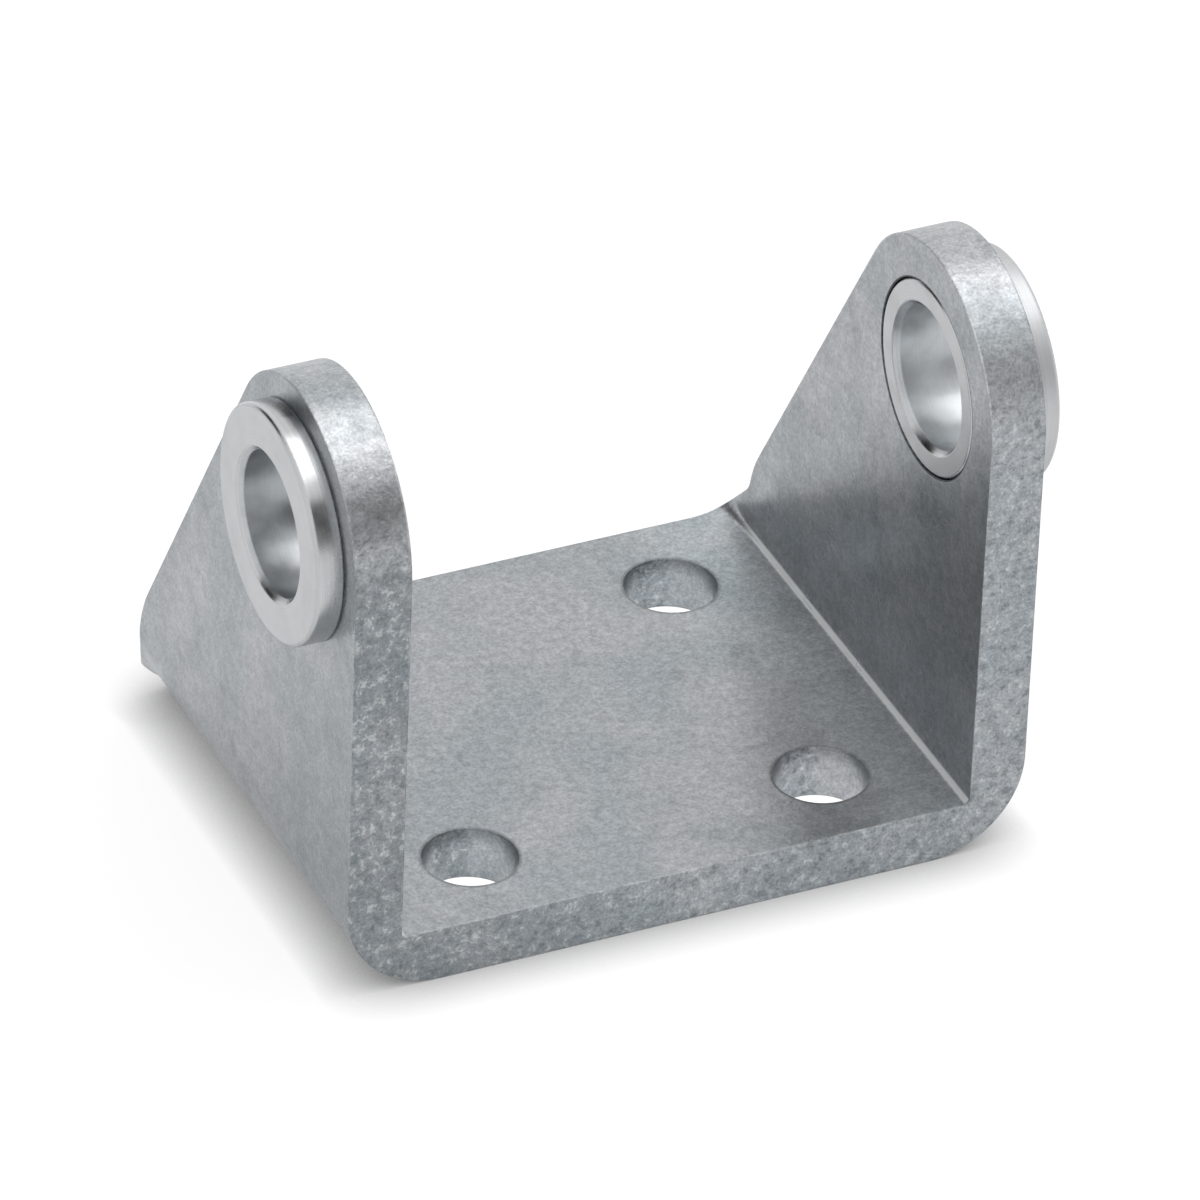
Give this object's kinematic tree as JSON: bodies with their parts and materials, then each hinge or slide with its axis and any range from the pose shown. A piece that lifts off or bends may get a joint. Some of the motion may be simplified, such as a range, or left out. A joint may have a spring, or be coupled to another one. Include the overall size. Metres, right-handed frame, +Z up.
{
  "type": "intermediate trunnion mount",
  "caption": "U-shaped folded plate bracket with rounded ears that carry flanged pivot bushes, and plain screw holes in its base.",
  "frame": {"origin": "centre of the rectangle of base holes, on the underside of the base", "axes": "+Z up from the base to the pivots, +X along the pivot axis to the right ear, +Y from the upright front edges to the sloped back edges"},
  "size_m": [0.054, 0.0393, 0.0424],
  "materials": {
    "plate": "tumbled, matte zinc grey with cloudy mottling",
    "bush": "fine turned, satin face and glossy rim"
  },
  "bodies": {
    "root": {"bracket": "plate", "left_bush": "bush", "right_bush": "bush"}
  },
  "joints": []
}
